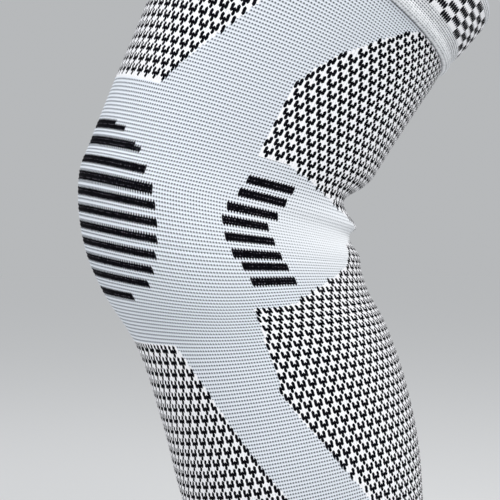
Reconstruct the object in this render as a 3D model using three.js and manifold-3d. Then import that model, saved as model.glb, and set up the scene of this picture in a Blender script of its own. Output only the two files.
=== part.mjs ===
// A knitted knee sleeve in its worn form: one tube bent at the knee, a cuff at each end, and a soft
// gel ring that lies inside the front, round the kneecap. Millimetres, +Z up. The origin is where
// the thigh's middle line meets the shank's. -X is the kneecap's side, +X the hollow of the knee.
import * as THREE from 'three'
import { mergeVertices } from 'three/addons/utils/BufferGeometryUtils.js'
import Module from 'manifold-3d'

// Driving dimensions, in millimetres and degrees
const UPPER_RUN = 113
const LOWER_RUN = 165
const THIGH = { depth: 150, width: 140 }
const KNEE = { depth: 131, width: 112 }
const CALF = { depth: 117, width: 106 }
const THIGH_LEAN = 25
const SHANK_LEAN = 18.5
const SQUARENESS = 2.2
const WALL = 2
const GAP = 0.3
const UPPER_CUFF = { height: 32, proud: 4.6, wall: 2.6 }
const LOWER_CUFF = { height: 25, proud: 2.2, wall: 2.4 }
const RING = { at: 0.465, wide: 80, tall: 104, thick: 5, seat: 0.6 }
const HOLE = { wide: 46, tall: 56, drop: 8, taper: 0.12 }
const NUB = { radius: 1.6, spokes: 20, perSpoke: 3 }

// How finely the round forms are divided
const TUBE_COLUMNS = 40
const CUFF_COLUMNS = 44
const RING_COLUMNS = 32
const PLAIN_STEP = 0.039
const FOLD_STEP = 0.0125
const FOLDED = { from: 0.325, to: 0.545 }

const rowsOf = (names, rows) =>
  rows.map((row) => Object.fromEntries(names.split(' ').map((name, i) => [name, row[i]])))

// Cross sections from the upper rim (at 0) to the lower rim (at 1). side is 1 on the thigh and -1 on
// the shank, along a share of that side's run, bow a shift to the front as a share of the knee's
// depth, thigh, knee and calf the shares of those sizes, and tilt a share of that side's lean.
const SECTIONS = rowsOf('at side along bow thigh knee calf tilt', [
  [0.00, 1, 0.970, 0.000, 0.88, 0.105, 0.000, 1.40],
  [0.12, 1, 0.680, -0.010, 0.58, 0.380, 0.000, 0.95],
  [0.26, 1, 0.320, 0.000, 0.19, 0.780, 0.000, 0.72],
  [0.35, 1, 0.100, 0.000, 0.02, 0.960, 0.000, 0.56],
  [0.42, -1, 0.020, 0.008, 0.00, 0.985, 0.000, -0.68],
  [0.48, -1, 0.110, 0.035, 0.00, 0.990, 0.000, -0.42],
  [0.54, -1, 0.200, 0.042, 0.00, 0.840, 0.160, -0.18],
  [0.60, -1, 0.285, 0.034, 0.00, 0.540, 0.460, 0.00],
  [0.68, -1, 0.400, -0.002, 0.00, 0.100, 0.895, 0.25],
  [0.80, -1, 0.610, -0.006, 0.00, 0.000, 0.990, 0.54],
  [0.92, -1, 0.830, 0.020, 0.00, 0.000, 0.970, 0.66],
  [1.00, -1, 1.000, 0.040, 0.00, 0.000, 0.900, 0.76],
])

// Creases (negative) and ridges (positive) in the hollow of the knee: deep is a share of the knee's
// depth, spread a share of the tube's length, reach a share of the half turn from the back.
const FOLDS = rowsOf('at deep spread reach', [
  [0.342, -0.055, 0.034, 0.20],
  [0.405, 0.036, 0.026, 0.22],
  [0.418, -0.015, 0.017, 0.26],
  [0.491, 0.019, 0.032, 0.22],
])

// The cuffs' closed profiles, from the edge that meets the tube: up is a share of the cuff's height,
// proud a share of how far the cuff stands off the tube, skin a share of the cuff's wall inwards.
const UPPER_PROFILE = rowsOf('up proud skin', [
  [0.000, 0.00, 0.15],
  [0.025, 0.30, 0.00],
  [0.080, 0.46, 0.00],
  [0.130, 0.40, 0.00],
  [0.175, 0.28, 0.00],
  [0.230, 0.36, 0.00],
  [0.440, 0.66, 0.00],
  [0.720, 0.88, 0.00],
  [0.950, 1.00, 0.00],
  [1.000, 0.95, 0.35],
  [0.960, 0.96, 1.00],
  [0.700, 0.84, 1.00],
  [0.400, 0.55, 1.00],
  [0.180, 0.20, 1.00],
  [0.000, 0.00, 0.80],
])
const LOWER_PROFILE = rowsOf('up proud skin', [
  [0.00, 0.00, 0.15],
  [0.04, 0.50, 0.00],
  [0.12, 0.80, 0.00],
  [0.20, 0.55, 0.00],
  [0.30, 0.60, 0.00],
  [0.65, 0.80, 0.00],
  [0.94, 1.00, 0.00],
  [1.00, 0.80, 0.35],
  [0.94, 0.75, 1.00],
  [0.60, 0.40, 1.00],
  [0.25, 0.15, 1.00],
  [0.00, 0.00, 0.80],
])

// The ring's closed profile: across goes from the hole's edge to the rim, deep from the knit's side
// to the skin's side, both as shares.
const RING_PROFILE = rowsOf('across deep', [
  [0.06, 0.00],
  [0.50, 0.00],
  [0.94, 0.00],
  [1.00, 0.35],
  [0.97, 0.80],
  [0.86, 1.00],
  [0.50, 1.00],
  [0.14, 1.00],
  [0.03, 0.80],
  [0.00, 0.35],
])

const mix = (a, b, t) => a + (b - a) * t
const bell = (t) => Math.exp(-t * t)

// Each section's centre, size and tilt in millimetres and radians
const placed = SECTIONS.map(({ at, side, along, bow, thigh, knee, calf, tilt }) => {
  const lean = THREE.MathUtils.degToRad(side > 0 ? THIGH_LEAN : SHANK_LEAN)
  const run = along * (side > 0 ? UPPER_RUN : LOWER_RUN)
  return {
    at,
    x: run * Math.sin(lean) - bow * KNEE.depth,
    z: side * run * Math.cos(lean),
    depth: thigh * THIGH.depth + knee * KNEE.depth + calf * CALF.depth,
    width: thigh * THIGH.width + knee * KNEE.width + calf * CALF.width,
    tilt: side * tilt * lean,
  }
})

// The slope of one column of the section table at row i, from its neighbours
function slopeAt(name, i) {
  const step = (k) => placed[k + 1].at - placed[k].at
  const rise = (k) => (placed[k + 1][name] - placed[k][name]) / step(k)
  if (i === 0) return rise(0)
  if (i === placed.length - 1) return rise(i - 1)
  return (step(i) * rise(i - 1) + step(i - 1) * rise(i)) / (step(i - 1) + step(i))
}

// One column of the section table, read as a smooth curve
function valueAt(name, at) {
  const next = placed.findIndex((row) => row.at > at)
  const k = (next < 0 ? placed.length - 1 : next) - 1
  const span = placed[k + 1].at - placed[k].at
  const t = (at - placed[k].at) / span
  const from = (1 + 2 * t) * (1 - t) ** 2 * placed[k][name] + t * (1 - t) ** 2 * span * slopeAt(name, k)
  const to = t * t * (3 - 2 * t) * placed[k + 1][name] + t * t * (t - 1) * span * slopeAt(name, k + 1)
  return from + to
}

// A point of a rounded outline on the half sizes 1, where turn 0 is the kneecap and 0.5 the hollow
function outline(turn) {
  const angle = turn * 2 * Math.PI
  const bend = (v) => Math.sign(v) * Math.abs(v) ** (2 / SQUARENESS)
  return { front: bend(Math.cos(angle)), side: bend(Math.sin(angle)) }
}

function foldAt(at, turn) {
  const fromBack = 2 * Math.abs(turn - Math.floor(turn) - 0.5)
  const depths = FOLDS.map((f) => f.deep * bell((at - f.at) / f.spread) * bell(fromBack / f.reach))
  return KNEE.depth * depths.reduce((sum, depth) => sum + depth, 0)
}

// A point on the tube, out millimetres off its outer face (negative goes towards the skin)
function tubePoint(at, turn, out) {
  const { front, side } = outline(turn)
  const tilt = valueAt('tilt', at)
  const off = out + foldAt(at, turn) / Math.hypot(front, side)
  const ahead = front * (valueAt('depth', at) / 2 + off)
  return new THREE.Vector3(
    valueAt('x', at) - Math.cos(tilt) * ahead,
    side * (valueAt('width', at) / 2 + off),
    valueAt('z', at) + Math.sin(tilt) * ahead,
  )
}

const turnsOf = (columns) => Array.from({ length: columns }, (_, i) => i / columns)

function signedVolume(points, faces) {
  const volumes = faces.map(([a, b, c]) => points[a].dot(new THREE.Vector3().crossVectors(points[b], points[c])))
  return volumes.reduce((sum, volume) => sum + volume, 0) / 6
}

// A closed body from rings of points, where the last ring joins the first
function loopedRings(rings) {
  const columns = rings[0].length
  const points = rings.flat()
  const cell = (i, j) => ((i + rings.length) % rings.length) * columns + ((j + columns) % columns)
  const faces = rings.flatMap((ring, i) =>
    ring.flatMap((_, j) => [
      [cell(i, j), cell(i + 1, j), cell(i + 1, j + 1)],
      [cell(i, j), cell(i + 1, j + 1), cell(i, j + 1)],
    ]),
  )
  const facing = signedVolume(points, faces) > 0 ? faces : faces.map(([a, b, c]) => [a, c, b])
  const geometry = new THREE.BufferGeometry().setFromPoints(points)
  geometry.setIndex(facing.flat())
  geometry.computeVertexNormals()
  return geometry
}

// Places along the tube, closer together where it folds
function tubePlaces() {
  const spans = [
    [0, FOLDED.from, PLAIN_STEP],
    [FOLDED.from, FOLDED.to, FOLD_STEP],
    [FOLDED.to, 1, PLAIN_STEP],
  ]
  const inner = spans.flatMap(([from, to, step]) => {
    const count = Math.round((to - from) / step)
    return Array.from({ length: count }, (_, i) => mix(from, to, i / count))
  })
  return [...inner, 1]
}

function tubeGeometry() {
  const places = tubePlaces()
  const turns = turnsOf(TUBE_COLUMNS)
  const face = (out) => places.map((at) => turns.map((turn) => tubePoint(at, turn, out)))
  return loopedRings([...face(0), ...face(-WALL).reverse()])
}

// A cuff carries on from the tube's rim, square to the rim's own plane
function cuffGeometry(rimAt, cuff, profile) {
  const away = rimAt === 0 ? 1 : -1
  const tilt = valueAt('tilt', rimAt)
  const axis = new THREE.Vector3(Math.sin(tilt), 0, Math.cos(tilt)).multiplyScalar(away)
  const turns = turnsOf(CUFF_COLUMNS)
  const rings = profile.map(({ up, proud, skin }) =>
    turns.map((turn) =>
      tubePoint(rimAt, turn, proud * cuff.proud - skin * cuff.wall)
        .addScaledVector(axis, GAP + up * cuff.height),
    ),
  )
  return loopedRings(rings)
}

// Where the ring's own flat layout lies on the knee: aside and up in millimetres from its middle,
// deep towards the skin from the side that lies against the knit
const AT_PROBE = 0.05
const upSpan = tubePoint(RING.at - AT_PROBE, 0, 0).distanceTo(tubePoint(RING.at + AT_PROBE, 0, 0))
const atPerUp = (2 * AT_PROBE) / upSpan
const girth = Math.PI * (valueAt('depth', RING.at) + valueAt('width', RING.at)) / 2

function kneecapPoint(aside, up, deep) {
  return tubePoint(RING.at - up * atPerUp, aside / girth, -(WALL + RING.seat + deep))
}

function ringPoint(angle, across, deep) {
  const narrow = 1 - HOLE.taper * Math.cos(angle)
  const aside = Math.sin(angle) * mix(HOLE.wide / 2 * narrow, RING.wide / 2, across)
  const up = mix(HOLE.tall / 2 * Math.cos(angle) - HOLE.drop, RING.tall / 2 * Math.cos(angle), across)
  return kneecapPoint(aside, up, deep)
}

function bandGeometry() {
  const angles = turnsOf(RING_COLUMNS).map((turn) => turn * 2 * Math.PI)
  return loopedRings(RING_PROFILE.map(({ across, deep }) =>
    angles.map((angle) => ringPoint(angle, across, deep * RING.thick))))
}

// Round nubs in spokes, on the side that lies against the skin
function nubCentres() {
  const shares = Array.from({ length: NUB.perSpoke }, (_, i) => (i + 1) / (NUB.perSpoke + 1))
  return turnsOf(NUB.spokes).flatMap((turn, spoke) =>
    shares.map((share) => {
      const shift = (spoke % 2 === 0 ? 0.25 : -0.25) / (NUB.perSpoke + 1)
      return ringPoint(turn * 2 * Math.PI, share + shift, RING.thick)
    }),
  )
}

const wasm = await Module()
wasm.setup()

function solidOf(geometry) {
  const bare = geometry.clone()
  bare.deleteAttribute('normal')
  bare.deleteAttribute('uv')
  const merged = mergeVertices(bare, 1e-4)
  const vertProperties = new Float32Array(merged.attributes.position.array)
  const triVerts = new Uint32Array(merged.index.array)
  return new wasm.Manifold(new wasm.Mesh({ numProp: 3, vertProperties, triVerts }))
}

function geometryOf(solid) {
  const mesh = solid.getMesh()
  const geometry = new THREE.BufferGeometry()
  geometry.setAttribute('position', new THREE.BufferAttribute(mesh.vertProperties, 3))
  geometry.setIndex(new THREE.BufferAttribute(mesh.triVerts, 1))
  geometry.computeVertexNormals()
  return geometry
}

function ringGeometry() {
  const band = solidOf(bandGeometry())
  const nubs = nubCentres().map(({ x, y, z }) =>
    solidOf(new THREE.SphereGeometry(NUB.radius, 6, 3).translate(x, y, z)))
  return geometryOf(nubs.reduce((whole, nub) => whole.add(nub), band))
}

const knit = { color: 0xdfe6ec, roughness: 0.85, metalness: 0 }
const cuffKnit = { color: 0xd3d9df, roughness: 0.85, metalness: 0 }
const gel = { color: 0xb9d7e8, roughness: 0.25, metalness: 0 }

function piece(name, geometry, look) {
  const mesh = new THREE.Mesh(geometry, new THREE.MeshStandardMaterial(look))
  mesh.name = name
  return mesh
}

const sleeve = new THREE.Group()
sleeve.name = 'knee_sleeve'
sleeve.add(
  piece('sleeve_tube', tubeGeometry(), knit),
  piece('upper_cuff', cuffGeometry(0, UPPER_CUFF, UPPER_PROFILE), cuffKnit),
  piece('lower_cuff', cuffGeometry(1, LOWER_CUFF, LOWER_PROFILE), cuffKnit),
  piece('patella_ring', ringGeometry(), gel),
)

export default sleeve
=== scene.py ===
"""The looks of a bent, knitted knee sleeve: a jacquard tube, two cuffs and the gel ring inside."""
import math

import bpy
import numpy as np
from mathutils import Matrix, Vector


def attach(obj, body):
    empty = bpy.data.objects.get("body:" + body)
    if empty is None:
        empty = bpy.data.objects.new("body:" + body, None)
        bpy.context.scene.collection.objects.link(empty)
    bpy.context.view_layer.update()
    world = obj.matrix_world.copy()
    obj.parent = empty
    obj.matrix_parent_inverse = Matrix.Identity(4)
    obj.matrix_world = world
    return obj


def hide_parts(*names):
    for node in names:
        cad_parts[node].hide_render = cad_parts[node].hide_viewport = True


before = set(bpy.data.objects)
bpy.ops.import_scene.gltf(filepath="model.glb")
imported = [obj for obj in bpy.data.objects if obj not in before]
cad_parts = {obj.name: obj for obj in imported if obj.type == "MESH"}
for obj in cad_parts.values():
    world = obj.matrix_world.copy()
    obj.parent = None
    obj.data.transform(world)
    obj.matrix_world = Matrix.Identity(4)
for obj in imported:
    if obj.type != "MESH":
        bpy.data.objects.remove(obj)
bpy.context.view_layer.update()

# Driving sizes of the frame, in metres and degrees
UPPER_RUN = 0.113
LOWER_RUN = 0.165
THIGH = {"depth": 0.150, "width": 0.140}
KNEE = {"depth": 0.131, "width": 0.112}
CALF = {"depth": 0.117, "width": 0.106}
THIGH_LEAN = 25
SHANK_LEAN = 18.5
SQUARENESS = 2.2
WALL = 0.002
GAP = 0.0003
UPPER_CUFF = {"height": 0.032, "proud": 0.0046, "wall": 0.0026}
LOWER_CUFF = {"height": 0.025, "proud": 0.0022, "wall": 0.0024}
RING = {"at": 0.465, "wide": 0.080, "tall": 0.104, "thick": 0.005, "seat": 0.0006}
HOLE = {"wide": 0.046, "tall": 0.056, "drop": 0.008, "taper": 0.12}

# Cross sections from the upper rim to the lower rim, as in the frame:
# at, side, along, bow, thigh, knee, calf, tilt
SECTIONS = [
    (0.00, 1, 0.970, 0.000, 0.88, 0.105, 0.000, 1.40),
    (0.12, 1, 0.680, -0.010, 0.58, 0.380, 0.000, 0.95),
    (0.26, 1, 0.320, 0.000, 0.19, 0.780, 0.000, 0.72),
    (0.35, 1, 0.100, 0.000, 0.02, 0.960, 0.000, 0.56),
    (0.42, -1, 0.020, 0.008, 0.00, 0.985, 0.000, -0.68),
    (0.48, -1, 0.110, 0.035, 0.00, 0.990, 0.000, -0.42),
    (0.54, -1, 0.200, 0.042, 0.00, 0.840, 0.160, -0.18),
    (0.60, -1, 0.285, 0.034, 0.00, 0.540, 0.460, 0.00),
    (0.68, -1, 0.400, -0.002, 0.00, 0.100, 0.895, 0.25),
    (0.80, -1, 0.610, -0.006, 0.00, 0.000, 0.990, 0.54),
    (0.92, -1, 0.830, 0.020, 0.00, 0.000, 0.970, 0.66),
    (1.00, -1, 1.000, 0.040, 0.00, 0.000, 0.900, 0.76),
]

# Creases and ridges in the hollow of the knee: at, deep, spread, reach
FOLDS = [
    (0.342, -0.055, 0.034, 0.20),
    (0.405, 0.036, 0.026, 0.22),
    (0.418, -0.015, 0.017, 0.26),
    (0.491, 0.019, 0.032, 0.22),
]

# The knit: wales run along the tube, courses round it, and two courses make one ridge. The courses
# are numbered from the upper cuff, whose seam takes in those before RIM_COURSE. The tube's two
# pieces meet at SPLIT_COURSE, and the inside has a ring of faces for every INNER_STEP courses.
WALES = 304
HALF = WALES // 2
COURSES = 356
RIM_COURSE = 4
SPLIT_COURSE = 178
INNER_STEP = 3
RIDGE = 0.00014

# Courses that the worn form pulls up over the kneecap and lets down beside it:
# by how many courses, round which course and wale, and how far each way
LIFT = {"by": -5.4, "course": 201.5, "wale": 0, "courses": 41, "wales": 60}
SAG = {"by": 4.3, "course": 200.5, "wale": 68, "courses": 32.5, "wales": 30}


def bell(t):
    return np.exp(-t * t)


def placed_sections():
    """Each section's place, size and tilt, as columns."""
    at, side, along, bow, thigh, knee, calf, tilt = np.array(SECTIONS).T
    lean = np.radians(np.where(side > 0, THIGH_LEAN, SHANK_LEAN))
    run = along * np.where(side > 0, UPPER_RUN, LOWER_RUN)
    return {
        "at": at,
        "x": run * np.sin(lean) - bow * KNEE["depth"],
        "z": side * run * np.cos(lean),
        "depth": thigh * THIGH["depth"] + knee * KNEE["depth"] + calf * CALF["depth"],
        "width": thigh * THIGH["width"] + knee * KNEE["width"] + calf * CALF["width"],
        "tilt": side * tilt * lean,
    }


PLACED = placed_sections()


def smooth_curve(places, values, at):
    """Values given at rising places, read at the places at as one smooth curve."""
    steps = np.diff(places)
    rises = np.diff(values) / steps
    inner = (steps[1:] * rises[:-1] + steps[:-1] * rises[1:]) / (steps[:-1] + steps[1:])
    slopes = np.concatenate([rises[:1], inner, rises[-1:]])
    k = np.clip(np.searchsorted(places, at, side="right") - 1, 0, len(steps) - 1)
    t = (at - places[k]) / steps[k]
    start = (1 + 2 * t) * (1 - t) ** 2 * values[k] + t * (1 - t) ** 2 * steps[k] * slopes[k]
    end = t * t * (3 - 2 * t) * values[k + 1] + t * t * (t - 1) * steps[k] * slopes[k + 1]
    return start + end


def value_at(name, at):
    return smooth_curve(PLACED["at"], PLACED[name], at)


def outline(turn):
    """A rounded outline with half sizes of 1: turn 0 is the kneecap, 0.5 the hollow of the knee."""
    angle = turn * 2 * np.pi
    front, side = np.cos(angle), np.sin(angle)
    power = 2 / SQUARENESS
    return np.sign(front) * np.abs(front) ** power, np.sign(side) * np.abs(side) ** power


def fold_at(at, turn):
    from_back = 2 * np.abs(turn - np.floor(turn) - 0.5)
    total = sum(
        deep * bell((at - place) / spread) * bell(from_back / reach)
        for place, deep, spread, reach in FOLDS
    )
    return KNEE["depth"] * total


def tube_point(at, turn, out):
    """Points on the tube, out metres off its outer face."""
    front, side = outline(turn)
    tilt = value_at("tilt", at)
    off = out + fold_at(at, turn) / np.hypot(front, side)
    ahead = front * (value_at("depth", at) / 2 + off)
    x = value_at("x", at) - np.cos(tilt) * ahead
    y = side * (value_at("width", at) / 2 + off)
    z = value_at("z", at) + np.sin(tilt) * ahead
    return np.stack(np.broadcast_arrays(x, y, z), axis=-1)


# Where a stitch lies: even steps of arc round the tube, even steps of length along its side
FINE_PLACES = np.linspace(0, 1, 1201)
SIDE_TURN = 0.75
HALF_TURNS = np.linspace(0.5, 1.0, 721)
OUTLINE_PLACES = np.linspace(0, 1, 67)


def place_of_course(course):
    line = tube_point(FINE_PLACES, SIDE_TURN, 0.0)
    lengths = np.linalg.norm(np.diff(line, axis=0), axis=1)
    run = np.concatenate([[0], np.cumsum(lengths)])
    share = (course - RIM_COURSE) / (COURSES - RIM_COURSE)
    return np.interp(share * run[-1], run, FINE_PLACES)


def turns_of_half():
    """For each of OUTLINE_PLACES, the turns of the wales from the back to the kneecap."""
    front, side = outline(HALF_TURNS)
    shares = np.linspace(0, 1, HALF + 1)
    rows = []
    for place in OUTLINE_PLACES:
        depth, width = value_at("depth", place), value_at("width", place)
        steps = np.hypot(np.diff(front) * depth, np.diff(side) * width)
        arc = np.concatenate([[0], np.cumsum(steps)])
        rows.append(np.interp(shares, arc / arc[-1], HALF_TURNS))
    return np.array(rows)


HALF_TABLE = turns_of_half()


def turn_of_wale(wale, at):
    """The turn of a whole wale number at the places at."""
    near = wale <= HALF
    table = HALF_TABLE[:, wale if near else WALES - wale]
    turn = np.interp(at, OUTLINE_PLACES, table)
    return turn if near else 2 - turn


def pulled(course, aside, pull):
    along = bell((course - pull["course"]) / pull["courses"])
    return pull["by"] * along * bell((aside - pull["wale"]) / pull["wales"])


def stitch_places(courses):
    """Places and turns of the stitches' corners: a row for each course, a column for each wale."""
    course = np.asarray(courses, float)[:, None]
    wales = np.arange(WALES)
    aside = np.abs(HALF - wales)[None, :].astype(float)
    plane = course + pulled(course, aside, LIFT) + pulled(course, aside, SAG)
    at = place_of_course(plane)
    turn = np.stack([turn_of_wale(w, at[:, w]) for w in wales], axis=1)
    return at, turn


# The chart of one motif, a letter for each stitch; the next row of motifs starts half a motif on.
# The motif's two arms and its stem are leaves, columns of three stitches.
MOTIF = ["X.X.", "X.X.", "XXX.", ".X..", ".X..", "...."]
MOTIF_WALES = len(MOTIF[0])
MOTIF_COURSES = len(MOTIF)
MOTIF_SHIFT = MOTIF_WALES // 2
STEM_WALE = 1
STEM_MIDDLE = 3.5
ARM_MIDDLE = 1.5

# Outlines of the patterned panels on one side, as (course, wales from the kneecap's middle line)
FRONT_THIGH_EDGE = [(0, 82), (40, 66), (62, 57.5), (78, 51), (89, 46.6), (97, 43.8)]
FRONT_THIGH_END = 97
BACK_THIGH_EDGE = [
    (0, 118), (18, 109), (30, 104), (41, 99), (51, 94), (63, 89.5), (76, 86.3), (121, 86),
]
BACK_SHANK_EDGE = [
    (210, 80.5), (231, 77.3), (264, 76.4), (278, 80.4), (307, 91.3), (332, 100.3), (356, 107),
]
FRONT_SHANK_START = 233
FRONT_SHANK_EDGE = [(233, 43), (240, 44.4), (265, 51.3), (291, 58.5), (316, 67.7), (356, 81)]

# The same outlines across the back, as (wales from the kneecap's middle line, course)
BACK_THIGH_END = [
    (86, 120.5), (98, 120.5), (105, 124), (121, 133), (130, 137.5), (145, 146), (152, 147.5),
]
BACK_SHANK_START = [
    (80, 210.5), (91, 209.5), (96, 208), (101, 204), (111, 195.5),
    (126, 182), (130, 172.5), (132, 161.5), (140, 157.5), (152, 155),
]

# Solid bars on one side, as (first course, courses, first and last wale from the kneecap's middle
# line). The two uppermost front bars end in a step, so each is made of two.
FRONT_BARS = [
    (120, 2, 0, 31), (122, 2, 0, 37), (129, 2, 0, 44), (131, 2, 0, 47), (140, 4, 0, 52),
    (149, 4, 0, 56), (157, 3, 0, 57), (165, 3, 0, 57), (173, 3, 0, 56), (181, 3, 0, 54),
    (189, 3, 0, 51), (197, 3, 0, 47), (206, 3, 0, 37),
]
SIDE_BARS = [
    (132, 4, 86, 103), (140, 4, 85, 102), (149, 4, 82, 100), (157, 4, 80, 96),
    (166, 4, 80, 97), (175, 4, 81, 98), (182, 4, 83, 99), (191, 4, 84, 100),
]

# Where the hollow of the knee is painted lighter, a painted highlight with fainter painted gap
# shades, and how far each way
HOLLOW_HIGHLIGHT = {"course": 161, "wale": 152, "courses": 32, "wales": 58}


def along(points, value):
    return np.interp(value, [p[0] for p in points], [p[1] for p in points])


def in_panel(course, aside):
    front_thigh = (course < FRONT_THIGH_END) & (aside < along(FRONT_THIGH_EDGE, course))
    front_shank = (course > FRONT_SHANK_START) & (aside < along(FRONT_SHANK_EDGE, course))
    back_thigh = aside > along(BACK_THIGH_EDGE, course)
    back_thigh &= course < along(BACK_THIGH_END, aside)
    back_shank = aside > along(BACK_SHANK_EDGE, course)
    back_shank &= course > along(BACK_SHANK_START, aside)
    return front_thigh | back_thigh | back_shank | front_shank


def charted(course, wale):
    """Is a stitch part of a motif's leaf whose middle lies in a panel?"""
    chart = np.array([[letter == "X" for letter in row] for row in MOTIF])
    band = course // MOTIF_COURSES
    row = course % MOTIF_COURSES
    column = (wale + band * MOTIF_SHIFT) % MOTIF_WALES
    leaf_middle = np.where(column == STEM_WALE, STEM_MIDDLE, ARM_MIDDLE)
    leaf_course = band * MOTIF_COURSES + leaf_middle
    aside = np.abs(HALF - (wale + 0.5))
    return chart[row, column] & in_panel(leaf_course, aside)


def barred(course, aside):
    return np.any([
        (course >= first) & (course < first + courses) & (aside > start) & (aside < end)
        for first, courses, start, end in FRONT_BARS + SIDE_BARS
    ], axis=0)


def tube_stitches():
    """For each stitch of the tube: is it of the dark yarn, and its zone. The zone is 1 in a
    patterned panel, 0 in plain knit, and goes down to -1 where the hollow of the knee is painted
    lighter, a painted highlight."""
    course, wale = np.meshgrid(np.arange(COURSES), np.arange(WALES), indexing="ij")
    aside = np.abs(HALF - (wale + 0.5))
    leaves = charted(course, wale)
    # smooth is how much the hollow of the knee is painted lighter, a painted highlight
    smooth = bell((course - HOLLOW_HIGHLIGHT["course"]) / HOLLOW_HIGHLIGHT["courses"])
    smooth = smooth * bell((aside - HOLLOW_HIGHLIGHT["wale"]) / HOLLOW_HIGHLIGHT["wales"])
    zone = np.where(in_panel(course + 0.5, aside) | leaves, 1, -smooth)
    return leaves | barred(course, aside), zone


def beside(grid, rows, columns):
    """The grid shifted, round the tube and held at its rims."""
    held = np.pad(grid, ((1, 1), (0, 0)), mode="edge")
    shifted = held[1 + rows:1 + rows + grid.shape[0]]
    return np.roll(shifted, -columns, axis=1)


def widest(grid, *shifts):
    return np.max([beside(grid, *shift) for shift in shifts], axis=0)


def corner_grid(count):
    """Wale and course of each stitch's four corners, in the order of closed_mesh's faces."""
    course, wale = np.meshgrid(np.arange(count), np.arange(WALES), indexing="ij")
    wales = np.stack([wale, wale, wale + 1, wale + 1], axis=-1)
    courses = np.stack([course, course + 1, course + 1, course], axis=-1)
    return wales.astype(float), courses.astype(float)


def knit_corners(dark, zone):
    """The attributes of each stitch's corners. stitch is the wale, the course and how far the dark
    yarn reaches up and down. ground is how far it reaches aside, the stitch's zone, and 1 where the
    dark yarn is in the stitch's own wale or -1 where it can only come in from beside."""
    dark = dark.astype(float)
    wales, courses = corner_grid(len(dark))
    over, under = ((dark + beside(dark, rows, 0)) / 2 for rows in (-1, 1))
    near, far = ((dark + beside(dark, 0, columns)) / 2 for columns in (-1, 1))
    own = over + under > 0
    over, under = (np.where(own, v, widest(v, (0, -1), (0, 1))) for v in (over, under))
    tip = own & (dark == 0)
    near, far = (np.where(tip, widest(v, (-1, 0), (1, 0)), v) for v in (near, far))
    up = np.stack([over, under, under, over], axis=-1)
    aside = np.stack([near, near, far, far], axis=-1)
    zone, own = (np.broadcast_to(v[..., None], aside.shape) for v in (zone, np.where(own, 1, -1)))
    return np.stack([wales, courses, up], axis=-1), np.stack([aside, zone, own], axis=-1)


def closed_mesh(name, rings, materials, material_of_ring, corners):
    """A closed body from rings of points, where the last ring joins the first. corners gives each
    named attribute as an array of ring, column, corner and value; corners go round each face."""
    count, columns = rings.shape[:2]
    index = np.arange(count * columns).reshape(count, columns)
    below = np.roll(index, -1, axis=0)
    beside_below, beside_index = (np.roll(v, -1, axis=1) for v in (below, index))
    faces = np.stack([index, below, beside_below, beside_index], axis=-1)
    mesh = bpy.data.meshes.new(name)
    mesh.vertices.add(count * columns)
    mesh.vertices.foreach_set("co", rings.astype(np.float32).ravel())
    mesh.loops.add(faces.size)
    mesh.loops.foreach_set("vertex_index", faces.astype(np.int32).ravel())
    mesh.polygons.add(count * columns)
    mesh.polygons.foreach_set("loop_start", np.arange(0, faces.size, 4, dtype=np.int32))
    slots = np.repeat(material_of_ring, columns).astype(np.int32)
    mesh.polygons.foreach_set("material_index", slots)
    mesh.update(calc_edges=True)
    for material in materials:
        mesh.materials.append(material)
    for label, values in corners.items():
        attribute = mesh.attributes.new(label, "FLOAT_VECTOR", "CORNER")
        attribute.data.foreach_set("vector", values.astype(np.float32).ravel())
    mesh.shade_smooth()
    mesh.validate()
    piece = bpy.data.objects.new(name, mesh)
    bpy.context.scene.collection.objects.link(piece)
    return piece


class Term:
    """A number in a material's nodes. Sums and products of terms add the nodes that make them."""

    def __init__(self, tree, socket):
        self.tree = tree
        self.socket = socket

    def math(self, operation, *others):
        node = self.tree.nodes.new("ShaderNodeMath")
        node.operation = operation
        for place, value in enumerate((self, *others)):
            connect(self.tree, value, node.inputs[place])
        return Term(self.tree, node.outputs[0])

    def __add__(self, other):
        return self.math("ADD", other)

    def __sub__(self, other):
        return self.math("SUBTRACT", other)

    def __mul__(self, other):
        return self.math("MULTIPLY", other)

    def flipped(self):
        """One less the term."""
        return (self * -1.0) + 1.0

    def part(self):
        return self.math("FRACT")

    def size(self):
        return self.math("ABSOLUTE")

    def step(self, start, end):
        """0 up to start, 1 from end on, and smooth between."""
        node = self.tree.nodes.new("ShaderNodeMapRange")
        node.interpolation_type = "SMOOTHSTEP"
        connect(self.tree, self, node.inputs["Value"])
        node.inputs["From Min"].default_value = start
        node.inputs["From Max"].default_value = end
        return Term(self.tree, node.outputs["Result"])


def connect(tree, value, socket):
    if isinstance(value, Term):
        tree.links.new(value.socket, socket)
    else:
        socket.default_value = value


def new_material(name, roughness):
    material = bpy.data.materials.new(name)
    material.use_nodes = True
    shader = material.node_tree.nodes["Principled BSDF"]
    shader.inputs["Roughness"].default_value = roughness
    return material, material.node_tree, shader


def attribute(tree, label):
    """The three numbers of a named attribute."""
    node = tree.nodes.new("ShaderNodeAttribute")
    node.attribute_name = label
    split = tree.nodes.new("ShaderNodeSeparateXYZ")
    tree.links.new(node.outputs["Vector"], split.inputs[0])
    return [Term(tree, output) for output in split.outputs]


# Where a mixing node has its colour sockets
MIX_COLORS = (6, 7)
MIX_RESULT = 2


def blend_colors(tree, share, *colors):
    """The first colour where share is 0, the second where it is 1."""
    node = tree.nodes.new("ShaderNodeMix")
    node.data_type = "RGBA"
    connect(tree, share, node.inputs["Factor"])
    for value, place in zip(colors, MIX_COLORS):
        connect(tree, value if isinstance(value, Term) else (*value, 1), node.inputs[place])
    return Term(tree, node.outputs[MIX_RESULT])


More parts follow.
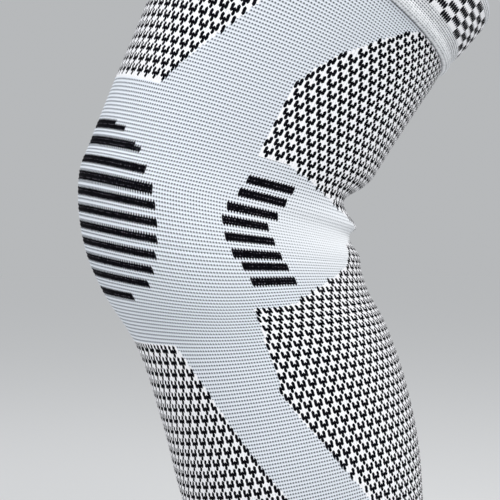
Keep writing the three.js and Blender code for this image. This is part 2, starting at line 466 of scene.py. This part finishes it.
def scatter(tree, wale, course, seed):
    """A steady number from 0 to 1 for each stitch."""
    join = tree.nodes.new("ShaderNodeCombineXYZ")
    connect(tree, wale.math("FLOOR"), join.inputs[0])
    connect(tree, course.math("FLOOR"), join.inputs[1])
    join.inputs[2].default_value = seed
    noise = tree.nodes.new("ShaderNodeTexWhiteNoise")
    tree.links.new(join.outputs[0], noise.inputs["Vector"])
    return Term(tree, noise.outputs["Value"])


def raise_stitches(tree, shader, height):
    node = tree.nodes.new("ShaderNodeBump")
    node.inputs["Strength"].default_value = STITCH["strength"]
    node.inputs["Distance"].default_value = STITCH["height"]
    connect(tree, height, node.inputs["Height"])
    tree.links.new(node.outputs["Normal"], shader.inputs["Normal"])


def crest_of(course):
    """0 in the valley between two ridges of the knit, 1 on a ridge's crest."""
    return ((course * 0.5 + 0.5).part() - 0.5).size() * 2.0


def edge_of(wale):
    """0 in the middle of a wale, 1 at its edges."""
    return (wale.part() - 0.5).size() * 2.0


KNIT_ROUGHNESS = 0.85
KNIT_SPECULAR = 0.04
INSIDE_ROUGHNESS = 0.9
STITCH = {"height": 0.0003, "strength": 0.5}
GROUND = (0.76, 0.80, 0.855)
# The painted shade in the gaps between the plain ground's ridges
PAINTED_GAP_SHADE = (0.10, 0.11, 0.13)
# The colour the ground is painted towards in the hollow of the knee: a painted highlight
PAINTED_HIGHLIGHT_GROUND = (0.93, 0.95, 0.97)
CUFF_GROUND = (0.88, 0.89, 0.91)
PANEL_WHITE = (0.92, 0.92, 0.94)
# The painted shade where the panel's white stitches meet
PANEL_SHADE = (0.42, 0.42, 0.47)
DARK_YARN = (0.001, 0.001, 0.002)
# The painted sheen along the middles of the dark stitches
PAINTED_SHEEN_ON_DARK = (0.008, 0.008, 0.014)
FLECK = (0.22, 0.20, 0.24)
INSIDE_GROUND = (0.66, 0.68, 0.72)
INSIDE_SHADE = (0.32, 0.33, 0.36)

# The edges of the dark yarn, beside a stitch and at its ends, and how far the ends scatter
SIDE_EDGE = (0.39, 0.47)
TOOTH_EDGE = (0.46, 0.54)
TOOTH_SCATTER = 0.08

# How pointed the dark stitches' ends are and how far they reach over, in courses
LEAF = {"tooth": 0.36, "over": 0.26}
BAR = {"tooth": 0.64, "over": 0.30}
BLOCK = {"tooth": 1.20, "over": 0.05}

# Small marks of the knit, most of them painted light: painted shade in the gaps between the ridges,
# outside and inside, and where white stitches meet, a painted sheen along the dark stitches, and
# pale flecks in the bars. For each: how fast it fades along the tube (steep) and round it (wide),
# between which values its edge lies, and its share of its colour
GAP_SHADE_DOT = {"steep": 2.6, "wide": 2.4, "edge": (0.15, 1.2), "share": 0.95}
GAP_SHADE_LINE = {"edge": (0.1, 0.7), "share": 0.24}
# The share of the painted gap shade that is taken away where the ground is painted lighter
GAP_SHADE_FADING = 0.85
WHITE_MEETING_SHADE = {"edge": (0.0, 0.6), "share": 0.6}
PAINTED_SHEEN_EDGE = (0.55, 0.95)
FLECKS = {"steep": 3.0, "edge": (0.05, 0.5), "scatter": (0.35, 1.0), "share": 0.6}
INSIDE_GAP_SHADE = {"edge": (0.2, 1.2), "share": 0.6, "scatter": 0.2}

# What the bump follows: the ridges, where plain and where patterned, and the stitches' middles
RIDGE_BUMP = {"plain": 0.7, "all": 0.3}
MIDDLE_BUMP = 0.3
INSIDE_BUMP = 0.4

# A seed for each of the stitches' steady random numbers
SEEDS = {"ends": 1.0, "white": 2.0, "painted_sheen": 3.0, "inside": 4.0, "flecks": 5.0, "ground": 6.0}


def knit_material(name, patterned_look, ground, speckle):
    """Knit with dark stitches: patterned_look is that of their ends in a patterned zone, and
    speckle says how uneven the plain ground is."""
    material, tree, shader = new_material(name, KNIT_ROUGHNESS)
    shader.inputs["Specular IOR Level"].default_value = KNIT_SPECULAR
    wale, course, up = attribute(tree, "stitch")
    aside, zone, own = attribute(tree, "ground")
    patterned = zone.math("MAXIMUM", 0.0)
    # smooth is a painted highlight: where the zone is below 0 the gap shades are painted fainter and
    # the ground lighter, in the hollow of the knee and on the cuffs' bead and ribs
    smooth = (zone * -1.0).math("MAXIMUM", 0.0)
    across = edge_of(wale)
    middle = across.flipped()
    crest = crest_of(course)
    # The dark yarn: its ends are drawn out in the middle of a wale and its sides bulge
    lens = own * middle
    uneven_ends = (scatter(tree, wale, course, SEEDS["ends"]) - 0.5) * TOOTH_SCATTER
    tooth, over = (
        patterned * (patterned_look[key] - BAR[key]) + BAR[key] for key in ("tooth", "over")
    )
    reach = up + (lens - 0.5) * tooth + over + uneven_ends
    dark = reach.step(*TOOTH_EDGE) * (aside + lens * 0.5).step(*SIDE_EDGE)
    # Plain ground: painted shade, a row of small shaded gaps along a shaded line in the valley
    # between two ridges
    gap = crest * crest * GAP_SHADE_DOT["steep"] + across * across * GAP_SHADE_DOT["wide"]
    gap = gap.step(*GAP_SHADE_DOT["edge"]).flipped() * GAP_SHADE_DOT["share"]
    line = crest.step(*GAP_SHADE_LINE["edge"]).flipped() * GAP_SHADE_LINE["share"]
    uneven = scatter(tree, wale, course, SEEDS["ground"]) * speckle
    shade = (gap + line) * (smooth * -GAP_SHADE_FADING + 1.0) + uneven
    # Painted highlight: the ground is painted lighter where the zone is below 0
    plain = blend_colors(tree, smooth, ground, PAINTED_HIGHLIGHT_GROUND)
    plain = blend_colors(tree, shade, plain, PAINTED_GAP_SHADE)
    # Patterned ground: white stitches with faint painted shade where they meet
    meeting_shade = middle.step(*WHITE_MEETING_SHADE["edge"]).flipped() * scatter(tree, wale, course, SEEDS["white"])
    white = blend_colors(tree, meeting_shade * WHITE_MEETING_SHADE["share"], PANEL_WHITE, PANEL_SHADE)
    light = blend_colors(tree, patterned, plain, white)
    # Painted sheen: the dark yarn is painted lighter along each wale's middle, more on some stitches
    # than on others
    painted_sheen = middle.step(*PAINTED_SHEEN_EDGE) * scatter(tree, wale, course, SEEDS["painted_sheen"])
    yarn = blend_colors(tree, painted_sheen, DARK_YARN, PAINTED_SHEEN_ON_DARK)
    # Bars: a pale fleck in each wale between two ridges of dark yarn
    fleck = (across * across + crest * crest * FLECKS["steep"]).step(*FLECKS["edge"]).flipped()
    some = scatter(tree, wale, course, SEEDS["flecks"]).step(*FLECKS["scatter"])
    fleck = fleck * patterned.flipped() * some * FLECKS["share"]
    yarn = blend_colors(tree, fleck, yarn, FLECK)
    color = blend_colors(tree, dark, light, yarn)
    tree.links.new(color.socket, shader.inputs["Base Color"])
    ridge = crest * (patterned.flipped() * RIDGE_BUMP["plain"] + RIDGE_BUMP["all"])
    raise_stitches(tree, shader, ridge + middle * MIDDLE_BUMP)
    return material


def inside_material():
    material, tree, shader = new_material("knit inside", INSIDE_ROUGHNESS)
    wale, course, _ = attribute(tree, "stitch")
    crest = crest_of(course)
    across = edge_of(wale)
    # Painted shade in small gaps along the valleys between the inside's ridges, with a random mottle
    shade = (crest * crest + across * across).step(*INSIDE_GAP_SHADE["edge"]).flipped()
    mottled = scatter(tree, wale, course, SEEDS["inside"]) * INSIDE_GAP_SHADE["scatter"]
    shade = shade * INSIDE_GAP_SHADE["share"] + mottled
    color = blend_colors(tree, shade, INSIDE_GROUND, INSIDE_SHADE)
    tree.links.new(color.socket, shader.inputs["Base Color"])
    raise_stitches(tree, shader, crest + across * INSIDE_BUMP)
    return material


GEL_ROUGHNESS = 0.18
GEL_LOOK = {
    "Transmission Weight": 0.15,
    "IOR": 1.41,
    "Subsurface Weight": 0.4,
    "Subsurface Radius": (0.4, 0.7, 1.0),
    "Subsurface Scale": 0.004,
}
GEL_CLOUDS = {"scale": 60, "edge": (0.35, 0.7)}
GEL_DEEP = (0.50, 0.70, 0.82)
GEL_PALE = (0.76, 0.89, 0.94)


def gel_material():
    material, tree, shader = new_material("silicone gel", GEL_ROUGHNESS)
    for label, value in GEL_LOOK.items():
        shader.inputs[label].default_value = value
    place = tree.nodes.new("ShaderNodeTexCoord")
    noise = tree.nodes.new("ShaderNodeTexNoise")
    noise.inputs["Scale"].default_value = GEL_CLOUDS["scale"]
    tree.links.new(place.outputs["Object"], noise.inputs["Vector"])
    cloud = Term(tree, noise.outputs["Fac"]).step(*GEL_CLOUDS["edge"])
    color = blend_colors(tree, cloud, GEL_DEEP, GEL_PALE)
    tree.links.new(color.socket, shader.inputs["Base Color"])
    return material


KNIT = knit_material("patterned knit", LEAF, GROUND, speckle=0.0)
CUFF_KNIT = knit_material("cuff knit", BLOCK, CUFF_GROUND, speckle=0.24)
INSIDE = inside_material()
GEL = gel_material()


def place_corners(courses):
    """The knit's attributes between rings at the given courses, where no yarn is dark."""
    wale = np.arange(WALES, dtype=float)
    wales = np.stack([wale, wale, wale + 1, wale + 1], axis=-1)
    rows = []
    for start, end in zip(courses[:-1], courses[1:]):
        ends = np.broadcast_to(np.array([start, end, end, start], float), wales.shape)
        rows.append(np.stack([wales, ends, np.zeros_like(wales)], axis=-1))
    return np.array(rows), np.zeros((len(rows), WALES, 4, 3))


def knit_body(name, outer, inner, stitches, inner_courses, material):
    """A closed knitted wall from its outer and inner rings, with the outer ones' knit_corners."""
    rings = np.concatenate([outer, inner])
    stitch, ground = (np.concatenate(pair) for pair in zip(stitches, place_corners(inner_courses)))
    outside = len(outer) - 1
    material_of_ring = [0] * outside + [1] * (len(rings) - outside)
    corners = {"stitch": stitch, "ground": ground}
    return closed_mesh(name, rings, [material, INSIDE], material_of_ring, corners)


TUBE_CORNERS = knit_corners(*tube_stitches())


def tube_part(name, first, last):
    """A closed stretch of the tube: each face of its outside is one stitch."""
    outer_courses = np.arange(first, last + 1)
    at, turn = stitch_places(outer_courses)
    relief = np.where(outer_courses % 2 == 0, -RIDGE, RIDGE)[:, None]
    outer = tube_point(at, turn, relief - RIDGE)
    inner_courses = np.append(np.arange(first, last, INNER_STEP), last)[::-1]
    at, turn = stitch_places(inner_courses)
    inner = tube_point(at, turn, -WALL)
    stitches = [values[first:last] for values in TUBE_CORNERS]
    around = [last, *inner_courses, first]
    return knit_body(name, outer, inner, stitches, around, KNIT)


# The cuffs' outer profiles from the edge that meets the tube to the rim, as (up, proud) in shares
# of the cuff's height and of how far it stands proud of the tube
UPPER_PROFILE = [
    (0.000, 0.00), (0.025, 0.30), (0.080, 0.46), (0.130, 0.40), (0.175, 0.28),
    (0.230, 0.36), (0.440, 0.66), (0.720, 0.88), (0.950, 1.00),
]
LOWER_PROFILE = [
    (0.00, 0.00), (0.04, 0.50), (0.12, 0.80), (0.20, 0.55),
    (0.30, 0.60), (0.65, 0.80), (0.94, 1.00),
]

# On round the rim and back along the inner face, as (up, proud, share of the wall's thickness)
UPPER_INNER = [
    (0.985, 0.99, 0.15), (1.000, 0.95, 0.45), (0.995, 0.95, 0.75), (0.960, 0.96, 1.00),
    (0.700, 0.84, 1.00), (0.400, 0.55, 1.00), (0.180, 0.20, 1.00), (0.000, 0.00, 0.80),
    (0.000, 0.00, 0.15),
]
LOWER_INNER = [
    (0.98, 0.95, 0.15), (1.00, 0.80, 0.45), (0.985, 0.78, 0.75), (0.94, 0.75, 1.00),
    (0.60, 0.40, 1.00), (0.25, 0.15, 1.00), (0.00, 0.00, 0.80), (0.00, 0.00, 0.15),
]

# The cuffs' knit: rows of CUFF_ROW, a smooth bead along the tube's rim, ribs of two rows, and a
# band of staggered dark blocks from a first to a last row
CUFF_ROW = 0.0005
RIB = 0.00012
BEAD_ROWS = 9
# The bead and the ribs take part of the hollow's painted highlight: fainter painted gap shades and a
# ground painted lighter
BEAD_ZONE = -0.6
RIBS_ZONE = -0.2
BLOCKS_ROUND = 60
BLOCK_ROWS = 5
UPPER_BLOCKS = (20, 55)
LOWER_BLOCKS = (16, 41)


def cuff_part(name, rim_place, cuff, profile, inner_profile, blocks):
    away = 1 if rim_place == 0 else -1
    tilt = value_at("tilt", rim_place)
    axis = away * np.array([np.sin(tilt), 0, np.cos(tilt)])
    turn = np.array([turn_of_wale(w, rim_place) for w in range(WALES)])

    def ring(up, proud, skin, relief):
        points = tube_point(rim_place, turn, proud * cuff["proud"] - skin * cuff["wall"] + relief)
        return points + axis * (GAP + up * cuff["height"])

    ups, prouds = np.array(profile).T
    rows = round(ups[-1] * cuff["height"] / CUFF_ROW)
    up = np.linspace(0, ups[-1], rows + 1)
    proud = smooth_curve(ups, prouds, up)
    outer = [ring(u, p, 0, RIB * (i % 2 - 1)) for i, (u, p) in enumerate(zip(up, proud))]
    inner = [ring(u, p, s, 0) for u, p, s in inner_profile]
    row, wale = np.meshgrid(np.arange(rows), np.arange(WALES), indexing="ij")
    band = (row >= blocks[0]) & (row < blocks[1])
    staggered = ((row - blocks[0]) // BLOCK_ROWS + wale * BLOCKS_ROUND // WALES) % 2 == 0
    zone = np.where(band, 1, np.where(row < BEAD_ROWS, BEAD_ZONE, RIBS_ZONE))
    stitches = knit_corners(band & staggered, zone)
    around = np.arange(rows, rows + len(inner) + 2)
    return knit_body(name, np.array(outer), np.array(inner), stitches, around, CUFF_KNIT)


# The ring: columns round it, rows across its skin side, and that side's round nubs, which are
# shifted along every second spoke
RING_COLUMNS = 420
RING_ROWS = 40
RING_SKIN = (0.10, 0.90)
NUB = {"radius": 0.0015, "spokes": 34, "per_spoke": 3, "shift": 0.25}

# The ring's edges and the side that faces the knit, as (share of the way from hole to rim, depth)
RING_EDGE = [(0.00, 0.35), (0.03, 0.80)]
RING_RIM = [(0.97, 0.80), (1.00, 0.35), (0.94, 0.00), (0.50, 0.00), (0.06, 0.00)]

# How far to each side of the ring's middle the tube's length is measured
PROBE = 0.05


def ring_layout(angle, across):
    """Where a point of the ring lies in its flat layout: aside and up, in metres from its middle."""
    narrow = 1 - HOLE["taper"] * np.cos(angle)
    hole_aside = np.sin(angle) * HOLE["wide"] / 2 * narrow
    hole_up = HOLE["tall"] / 2 * np.cos(angle) - HOLE["drop"]
    aside = hole_aside * (1 - across) + np.sin(angle) * RING["wide"] / 2 * across
    up = hole_up * (1 - across) + RING["tall"] / 2 * np.cos(angle) * across
    return np.stack([aside, up], axis=-1)


def kneecap_point(layout, deep):
    """Points of the flat layout wrapped onto the inside of the front, deep metres off the knit."""
    probe = np.array([RING["at"] - PROBE, RING["at"] + PROBE])
    ends = tube_point(probe, np.zeros(2), 0.0)
    place_per_up = 2 * PROBE / np.linalg.norm(ends[1] - ends[0])
    girth = np.pi * (value_at("depth", RING["at"]) + value_at("width", RING["at"])) / 2
    at = RING["at"] - layout[..., 1] * place_per_up
    return tube_point(at, layout[..., 0] / girth, -(WALL + RING["seat"] + deep))


def nub_height(layout):
    """How far the round nubs stand off the ring's skin side."""
    spokes = np.arange(NUB["spokes"])
    shares = (np.arange(NUB["per_spoke"]) + 1) / (NUB["per_spoke"] + 1)
    shift = np.where(spokes % 2 == 0, NUB["shift"], -NUB["shift"]) / (NUB["per_spoke"] + 1)
    angle = np.repeat(spokes / NUB["spokes"] * 2 * np.pi, NUB["per_spoke"])
    across = (shares[None, :] + shift[:, None]).ravel()
    height = np.zeros(layout.shape[:-1])
    for centre in ring_layout(angle, across):
        gap = np.sum((layout - centre) ** 2, axis=-1)
        height = np.maximum(height, np.sqrt(np.maximum(NUB["radius"] ** 2 - gap, 0)))
    return height


def gel_ring_part():
    angle = np.arange(RING_COLUMNS) / RING_COLUMNS * 2 * np.pi

    def plain_rings(profile):
        return [kneecap_point(ring_layout(angle, a), deep * RING["thick"]) for a, deep in profile]

    rings = plain_rings(RING_EDGE)
    for across in np.linspace(*RING_SKIN, RING_ROWS + 1):
        layout = ring_layout(angle, across)
        rings.append(kneecap_point(layout, RING["thick"] + nub_height(layout)))
    rings += plain_rings(RING_RIM)
    return closed_mesh("gel_ring", np.array(rings), [GEL], [0] * len(rings), {})


def dress(piece, node):
    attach(piece, "root")
    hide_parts(node)


# The tube is one cloth, knitted round: it is shown as two pieces that meet in a valley of the knit.
knit_thigh = tube_part("knit_thigh", RIM_COURSE, SPLIT_COURSE)
knit_shank = tube_part("knit_shank", SPLIT_COURSE, COURSES)
cuff_thigh = cuff_part("cuff_thigh", 0, UPPER_CUFF, UPPER_PROFILE, UPPER_INNER, UPPER_BLOCKS)
cuff_shank = cuff_part("cuff_shank", 1, LOWER_CUFF, LOWER_PROFILE, LOWER_INNER, LOWER_BLOCKS)
gel_ring = gel_ring_part()

dress(knit_thigh, "sleeve_tube")
dress(knit_shank, "sleeve_tube")
dress(cuff_thigh, "upper_cuff")
dress(cuff_shank, "lower_cuff")
dress(gel_ring, "patella_ring")


# Camera: level, beside the knee, at the height of the shank's top
CAMERA_PLACE = (0.0170, -0.506, -0.0251)
HALF_VIEW_WIDTH = 0.11825
SENSOR_MM = 36
CLIP = (0.01, 50)

# The studio's light from all round, and the share of it that the floor gives back
STUDIO_COLOR = (0.86, 0.88, 0.90, 1)
STUDIO_STRENGTH = 0.55
FLOOR_SHARE = 0.6
FLOOR = {"radius": 9, "sides": 96, "height": -0.25, "roughness": 0.9}

# Two round, soft lights above the kneecap's side and the hollow's side
LIGHTS = {
    "key": {"place": (0.55, -0.70, 0.80), "target": (0.02, 0, 0.02), "size": 0.7, "power": 9.5,
            "color": (1, 1, 1)},
    "fill": {"place": (-0.65, -0.40, 0.70), "target": (0, 0, 0), "size": 0.8, "power": 5.5,
             "color": (0.97, 0.98, 1)},
}


def add_camera():
    data = bpy.data.cameras.new("camera")
    data.sensor_width = SENSOR_MM
    data.lens = SENSOR_MM / 2 * -CAMERA_PLACE[1] / HALF_VIEW_WIDTH
    camera = bpy.data.objects.new("camera", data)
    camera.location = CAMERA_PLACE
    camera.rotation_euler = (math.pi / 2, 0, 0)
    data.clip_start, data.clip_end = CLIP
    bpy.context.scene.collection.objects.link(camera)
    bpy.context.scene.camera = camera


def add_light(name, place, target, size, power, color):
    data = bpy.data.lights.new(name, "AREA")
    data.shape = "DISK"
    data.size = size
    data.energy = power
    data.color = color
    light = bpy.data.objects.new(name, data)
    light.location = place
    direction = np.array(target) - np.array(place)
    light.rotation_euler = Vector(direction).to_track_quat("-Z", "Y").to_euler()
    bpy.context.scene.collection.objects.link(light)


def add_world():
    world = bpy.data.worlds.new("studio")
    world.use_nodes = True
    background = world.node_tree.nodes["Background"]
    background.inputs["Color"].default_value = STUDIO_COLOR
    background.inputs["Strength"].default_value = STUDIO_STRENGTH
    bpy.context.scene.world = world


def add_floor():
    """A pale floor that takes on the background's tone where the lights no longer reach it."""
    bpy.ops.mesh.primitive_circle_add(
        vertices=FLOOR["sides"], radius=FLOOR["radius"], fill_type="NGON",
        location=(0, 0, FLOOR["height"]),
    )
    floor = bpy.context.object
    floor.name = "floor"
    material, _, shader = new_material("floor", FLOOR["roughness"])
    shader.inputs["Base Color"].default_value = (FLOOR_SHARE, FLOOR_SHARE, FLOOR_SHARE, 1)
    shader.inputs["Specular IOR Level"].default_value = 0.0
    shader.inputs["Emission Color"].default_value = STUDIO_COLOR
    shader.inputs["Emission Strength"].default_value = STUDIO_STRENGTH * (1 - FLOOR_SHARE)
    floor.data.materials.append(material)


add_camera()
add_world()
add_floor()
for label, light in LIGHTS.items():
    add_light(label, **light)
bpy.context.scene.view_settings.view_transform = "Standard"
